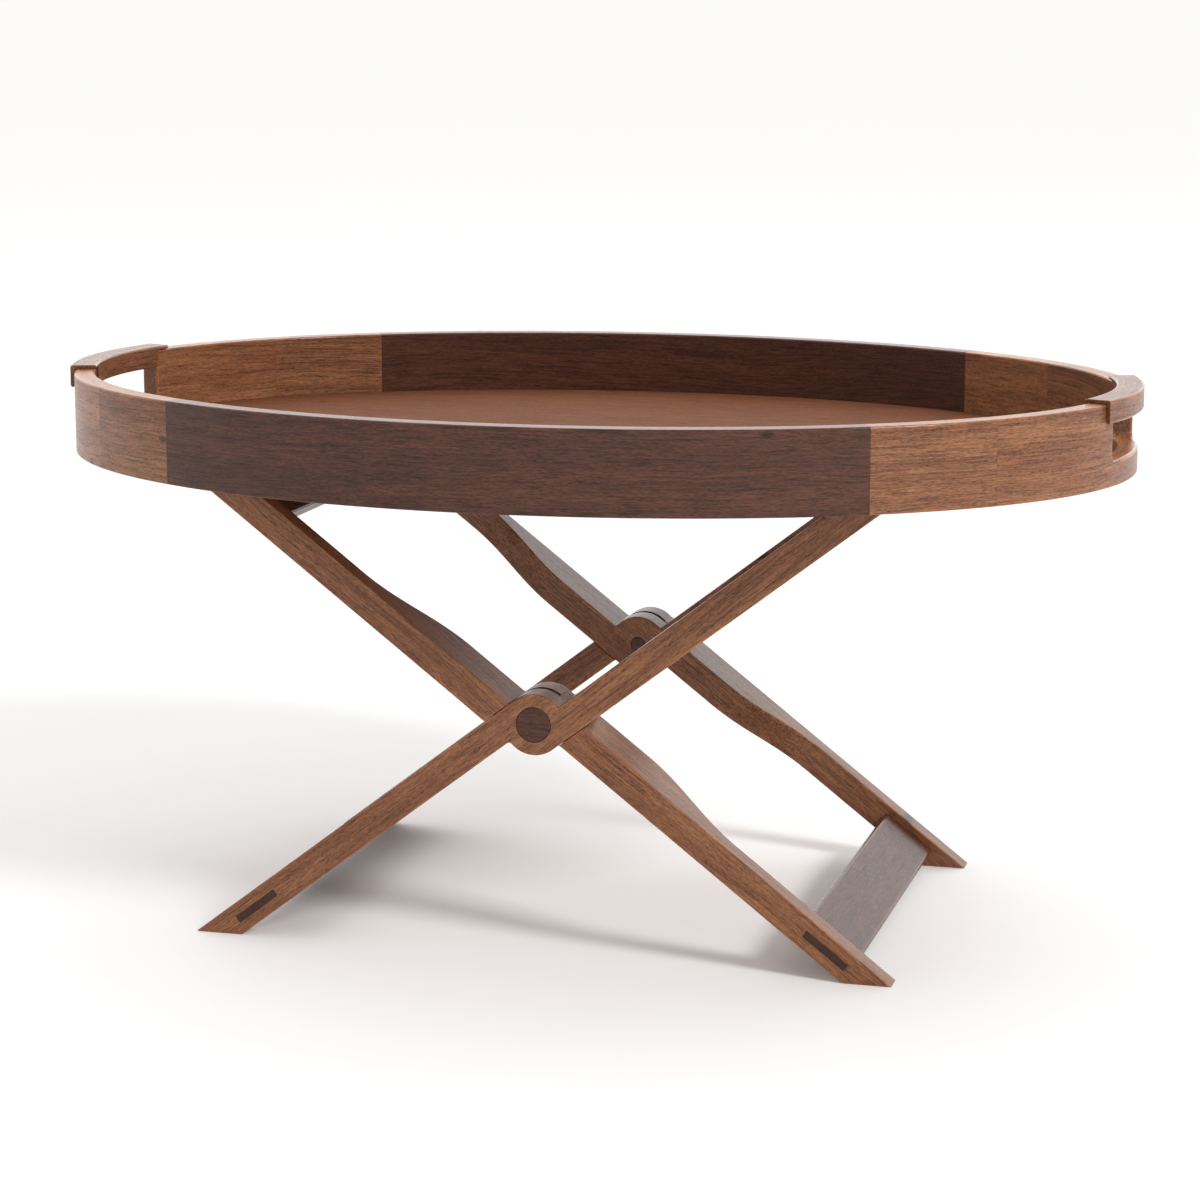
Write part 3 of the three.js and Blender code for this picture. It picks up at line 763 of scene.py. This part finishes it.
def walnut(name, pale, middle, deep, pore, rough=0.31, contrast=1.0, pores=0.7):
    """Planed solid walnut under a thin satin oil finish: streaks and pores along the grain,
    and a soft sheen that greys the faces seen at a low angle."""
    material, tree = blank(name)
    # The place in the board, swaying a few millimetres from side to side along the grain.
    grain = add(tree, "ShaderNodeAttribute", attribute_name="grain").outputs["Vector"]
    slow = add(tree, "ShaderNodeVectorMath", {0: grain, 1: (3, 9, 9)}, operation="MULTIPLY")
    drift = add(tree, "ShaderNodeTexNoise", {"Vector": slow.outputs[0], "Scale": 1, "Detail": 1})
    centred = add(tree, "ShaderNodeVectorMath",
                  {0: drift.outputs["Color"], 1: (0.5, 0.5, 0.5)}, operation="SUBTRACT")
    sway = add(tree, "ShaderNodeVectorMath",
               {0: centred.outputs[0], 1: (0, 30 * MM, 30 * MM)}, operation="MULTIPLY")
    place = add(tree, "ShaderNodeVectorMath", {0: grain, 1: sway.outputs[0]}, operation="ADD")
    found = {}
    for pattern, (length, width, detail) in WALNUT_PATTERNS.items():
        scaled = add(tree, "ShaderNodeVectorMath",
                     {0: place.outputs[0], 1: (1 / length, 1 / width, 1 / width)},
                     operation="MULTIPLY")
        noise = add(tree, "ShaderNodeTexNoise",
                    {"Vector": scaled.outputs[0], "Scale": 1, "Detail": detail})
        found[pattern] = noise.outputs["Fac"]
    # Open pores: short dark dashes, crowded in the darker rings.
    cells = add(tree, "ShaderNodeVectorMath",
                {0: place.outputs[0], 1: tuple(1 / size for size in PORE_CELL)},
                operation="MULTIPLY")
    cell = add(tree, "ShaderNodeTexVoronoi", {"Vector": cells.outputs[0], "Scale": 1})
    dash = add(tree, "ShaderNodeMapRange",
               {"Value": cell.outputs["Distance"], "From Min": 0.18, "From Max": 0.36,
                "To Min": 1, "To Max": 0}, interpolation_type="SMOOTHSTEP")
    crowd = add(tree, "ShaderNodeMapRange",
                {"Value": found["rings"], "From Min": 0.35, "From Max": 0.62,
                 "To Min": 0.15, "To Max": 1})
    opened = add(tree, "ShaderNodeMath", {0: dash.outputs[0], 1: crowd.outputs[0]},
                 operation="MULTIPLY")

    # Colour: broad bands, then narrow rings, then the pores, then a pin knot here and there.
    spread = 0.16 / contrast
    wide = add(tree, "ShaderNodeMapRange",
               {"Value": found["bands"], "From Min": 0.5 - spread, "From Max": 0.5 + spread,
                "To Min": 0.2, "To Max": 0.8},
               interpolation_type="SMOOTHSTEP")
    body = add(tree, "ShaderNodeMix",
               {FACTOR: wide.outputs[0], COLOUR_A: colour(pale), COLOUR_B: colour(middle)},
               data_type="RGBA")
    narrow = add(tree, "ShaderNodeMapRange",
                 {"Value": found["rings"], "From Min": 0.45, "From Max": 0.72, "To Max": 0.65},
                 interpolation_type="SMOOTHSTEP")
    ringed = add(tree, "ShaderNodeMix",
                 {FACTOR: narrow.outputs[0], COLOUR_A: body.outputs[COLOUR_OUT],
                  COLOUR_B: colour(deep)}, data_type="RGBA")
    soft = add(tree, "ShaderNodeMath", {0: opened.outputs[0], 1: pores}, operation="MULTIPLY")
    pored = add(tree, "ShaderNodeMix",
                {FACTOR: soft.outputs[0], COLOUR_A: ringed.outputs[COLOUR_OUT],
                 COLOUR_B: colour(pore)}, data_type="RGBA")

    boards = add(tree, "ShaderNodeVectorMath",
                 {0: grain, 1: (1 / KNOT_CELL[0], 1 / KNOT_CELL[1], 0)}, operation="MULTIPLY")
    knot = add(tree, "ShaderNodeTexVoronoi", {"Vector": boards.outputs[0], "Scale": 1},
               voronoi_dimensions="2D")
    eye = add(tree, "ShaderNodeMapRange",
              {"Value": knot.outputs["Distance"], "From Min": 0.008, "From Max": 0.026,
               "To Min": 0.75, "To Max": 0}, interpolation_type="SMOOTHSTEP")
    eyed = add(tree, "ShaderNodeMix",
               {FACTOR: eye.outputs[0], COLOUR_A: pored.outputs[COLOUR_OUT],
                COLOUR_B: colour(pore)}, data_type="RGBA")

    # Light and dark: fine streaks and fibres, the tone of the board with the painted highlight on top
    # faces, and rounded edges, painted paler as rubbed wood and painted highlight, or darker as
    # painted shade in the knuckle seam.
    value = add(tree, "ShaderNodeMath", {0: found["streaks"], 1: found["fibres"]},
                operation="ADD")
    value = add(tree, "ShaderNodeMath", {0: found["mottle"], 1: 0.25, 2: value.outputs[0]},
                operation="MULTIPLY_ADD")
    light = add(tree, "ShaderNodeMapRange",
                {"Value": value.outputs[0], "From Min": DULL, "From Max": BRIGHT,
                 "To Min": 1 - 0.7 * contrast, "To Max": 1 + 0.7 * contrast})
    tone = add(tree, "ShaderNodeAttribute", attribute_name="tone")
    lift = add(tree, "ShaderNodeMath", {0: light.outputs[0], 1: tone.outputs["Fac"]},
               operation="ADD")
    worn_and_painted_light = add(tree, "ShaderNodeAttribute", attribute_name="worn_and_painted_light")
    # Rounds are painted paler, part rubbed wood and part painted highlight; the knuckle seam is
    # painted darker as painted shade.
    rubbed_and_painted_light = add(tree, "ShaderNodeMath", {0: worn_and_painted_light.outputs["Fac"], 1: found["mottle"]},
                 operation="MULTIPLY")
    edge = add(tree, "ShaderNodeMath", {0: rubbed_and_painted_light.outputs[0], 1: 0.7, 2: lift.outputs[0]},
               operation="MULTIPLY_ADD")
    shown = add(tree, "ShaderNodeHueSaturation",
                {"Value": edge.outputs[0], "Color": eyed.outputs[COLOUR_OUT]})
    # Sheen: pores stay dull, and rubbed edges are polished.
    gloss = add(tree, "ShaderNodeMapRange",
                {"Value": value.outputs[0], "From Min": DULL, "From Max": BRIGHT,
                 "To Min": rough + 0.06, "To Max": rough - 0.06})
    dry = add(tree, "ShaderNodeMath", {0: opened.outputs[0], 1: 0.14, 2: gloss.outputs[0]},
              operation="MULTIPLY_ADD")
    sheen = add(tree, "ShaderNodeMath", {0: worn_and_painted_light.outputs["Fac"], 1: -0.13, 2: dry.outputs[0]},
                operation="MULTIPLY_ADD")
    height = add(tree, "ShaderNodeMath", {0: opened.outputs[0], 1: -1.0, 2: found["fibres"]},
                 operation="MULTIPLY_ADD")
    bump = add(tree, "ShaderNodeBump",
               {"Height": height.outputs[0], "Strength": 0.1, "Distance": 0.25 * MM})
    shader = add(tree, "ShaderNodeBsdfPrincipled",
                 {"Base Color": shown.outputs[0], "Roughness": sheen.outputs[0],
                  "Normal": bump.outputs[0], "IOR": 1.45, "Specular IOR Level": 0.35})
    add(tree, "ShaderNodeOutputMaterial", {"Surface": shader.outputs[0]})
    return material


def plain_beech():
    """Sawn beech, glued in and never seen: pale, even, with short brown ray flecks."""
    material, tree = blank("sawn_beech")
    place = add(tree, "ShaderNodeTexCoord").outputs["Object"]
    fleck_size = add(tree, "ShaderNodeVectorMath",
                     {0: place, 1: (1 / (1.2 * MM), 1 / (1.2 * MM), 1 / (4 * MM))},
                     operation="MULTIPLY")
    fleck = add(tree, "ShaderNodeTexVoronoi", {"Vector": fleck_size.outputs[0], "Scale": 1})
    spot = add(tree, "ShaderNodeMapRange",
               {"Value": fleck.outputs["Distance"], "From Min": 0.1, "From Max": 0.3,
                "To Min": 0.6, "To Max": 0})
    mixed = add(tree, "ShaderNodeMix",
                {FACTOR: spot.outputs[0], COLOUR_A: colour("d2ac78"), COLOUR_B: colour("9c6b3f")},
                data_type="RGBA")
    cloud = add(tree, "ShaderNodeTexNoise", {"Vector": place, "Scale": 220, "Detail": 3})
    rough = add(tree, "ShaderNodeMapRange",
                {"Value": cloud.outputs["Fac"], "To Min": 0.5, "To Max": 0.8})
    bump = add(tree, "ShaderNodeBump",
               {"Height": cloud.outputs["Fac"], "Strength": 0.3, "Distance": 0.2 * MM})
    shader = add(tree, "ShaderNodeBsdfPrincipled",
                 {"Base Color": mixed.outputs[COLOUR_OUT], "Roughness": rough.outputs[0],
                  "Normal": bump.outputs[0]})
    add(tree, "ShaderNodeOutputMaterial", {"Surface": shader.outputs[0]})
    return material


def zinc_steel():
    """Zinc-plated steel, tumbled bright: a cool grey metal with faint handling marks."""
    material, tree = blank("zinc_plated_steel")
    place = add(tree, "ShaderNodeTexCoord").outputs["Object"]
    cloud = add(tree, "ShaderNodeTexNoise", {"Vector": place, "Scale": 900, "Detail": 3})
    tint = add(tree, "ShaderNodeMix",
               {FACTOR: cloud.outputs["Fac"], COLOUR_A: colour("a8a9a6"), COLOUR_B: colour("cfcfca")},
               data_type="RGBA")
    rough = add(tree, "ShaderNodeMapRange",
                {"Value": cloud.outputs["Fac"], "To Min": 0.25, "To Max": 0.45})
    shader = add(tree, "ShaderNodeBsdfPrincipled",
                 {"Base Color": tint.outputs[COLOUR_OUT], "Roughness": rough.outputs[0],
                  "Metallic": 1.0})
    add(tree, "ShaderNodeOutputMaterial", {"Surface": shader.outputs[0]})
    return material


# ---- Studio --------------------------------------------------------------------------------
# The direction of the lit wall, and how far the sheet lies under the feet and out to each side.
WALL_WAY = (-0.5, 0.87, 0)
SHEET_DROP = 0.05 * MM
SHEET_REACH = 85


def softbox(name, place, aim, size, power):
    """A large soft lamp that faces a point."""
    data = bpy.data.lights.new(name, "AREA")
    data.shape = "RECTANGLE"
    data.size, data.size_y = size
    data.energy = power
    lamp = bpy.data.objects.new(name, data)
    lamp.location = place
    lamp.rotation_mode = "QUATERNION"
    lamp.rotation_quaternion = (Vector(aim) - Vector(place)).to_track_quat("-Z", "Y")
    bpy.context.scene.collection.objects.link(lamp)


def set_studio():
    """A white studio: the wall behind the table is lit, and the room in front is dimmer."""
    bpy.context.scene.view_settings.view_transform = "Standard"
    world = bpy.data.worlds.new("studio")
    world.use_nodes = True
    tree = world.node_tree
    way = add(tree, "ShaderNodeTexCoord").outputs["Generated"]
    back = add(tree, "ShaderNodeVectorMath", {0: way, 1: WALL_WAY}, operation="DOT_PRODUCT")
    strength = add(tree, "ShaderNodeMapRange",
                   {"Value": back.outputs["Value"], "From Min": -0.4, "From Max": 0.8,
                    "To Min": 0.6, "To Max": 1.65}, interpolation_type="SMOOTHSTEP")
    seen = add(tree, "ShaderNodeLightPath").outputs["Is Camera Ray"]
    plain = add(tree, "ShaderNodeMath", {0: strength.outputs[0], 1: seen}, operation="MAXIMUM")
    tree.links.new(plain.outputs[0], tree.nodes["Background"].inputs["Strength"])
    tree.nodes["Background"].inputs["Color"].default_value = (1, 1, 1, 1)
    bpy.context.scene.world = world
    softbox("key", (6.0, -3.2, 4.8), (0, 0, 0.2), (1.7, 1.7), 400)
    paper = bpy.data.materials.new("paper_floor")
    paper.use_nodes = True
    surface = paper.node_tree.nodes["Principled BSDF"]
    surface.inputs["Base Color"].default_value = colour("f7f6f5")
    surface.inputs["Roughness"].default_value = 0.9
    sheet = bmesh.new()
    bmesh.ops.create_grid(sheet, x_segments=1, y_segments=1, size=SHEET_REACH)
    move(sheet, lambda co: co - Vector((0, 0, SHEET_DROP)))
    floor = shape_object("studio_floor", sheet)
    floor.data.materials.append(paper)


# ---- Assembly ------------------------------------------------------------------------------
def build():
    light = walnut("oiled_light_walnut", "8a5d3e", "71452d", "4c2b1b", "22120b")
    dark = walnut("oiled_dark_walnut", "553224", "45291f", "2d1b14", "150c08", pores=0.5)
    veneer = walnut("lacquered_walnut_veneer", "7c482a", "6e4124", "56311d", "3a2115",
                    rough=0.8, contrast=0.6, pores=0.35)
    beech, steel = plain_beech(), zinc_steel()

    # The front half of the rim is the back half turned about, so it starts at the left.
    # The back right piece is painted paler (0.25): painted light that brightens the inside of the rim
    # on the right, which stands in shade.
    rows = (("back", 0, "right", "left", 0.25), ("front", math.pi, "left", "right", 0.0))
    joints = [END_JOINT, DARK_JOINT, HALF_ROUND - DARK_JOINT, HALF_ROUND - END_JOINT]
    for row, about, first, last, first_tone_and_painted_light in rows:
        make_rim_side(f"rim_{row}_{first}", *joints[0:2], about, light, "light_walnut", first_tone_and_painted_light)
        make_rim_side(f"rim_{row}_dark", *joints[1:3], about, dark, "dark_walnut", 0.0)
        make_rim_side(f"rim_{row}_{last}", *joints[2:4], about, light, "light_walnut", 0.0)
    for where, side in (("right", 1), ("left", -1)):
        about = 0 if side > 0 else math.pi
        # The left end is painted paler than the right (0.2 against 0.04): a painted highlight on its
        # outer face, seen at a low angle.
        make_rim_end(where, about, light, 0.04 if side > 0 else 0.2)
        make_grip(where, about, light, 0.02)
        make_cleat(where, side, dark, 0.0)
        for place, y in (("front", -SCREW_SPACING), ("middle", 0), ("rear", SCREW_SPACING)):
            make_screw(where, side, place, y, steel)
    make_floor(veneer)
    for layer in ("outer", "inner"):
        for end in ("front", "rear"):
            # The rear legs are painted darker than the front ones (-0.05 against 0.1): painted shade,
            # as they stand in shade.
            make_leg(layer, end, light, 0.1 if end == "front" else -0.05)
        for level in ("upper", "lower"):
            make_stretcher(layer, level, dark, 0.0)
    for end in ("front", "rear"):
        make_pin(end, dark)
    for node, piece in frame["nodes"].items():
        if node.startswith(("rim_spline", "grip_dowel")):
            piece.data.materials.clear()
            piece.data.materials.append(beech)


set_camera()
set_studio()
build()
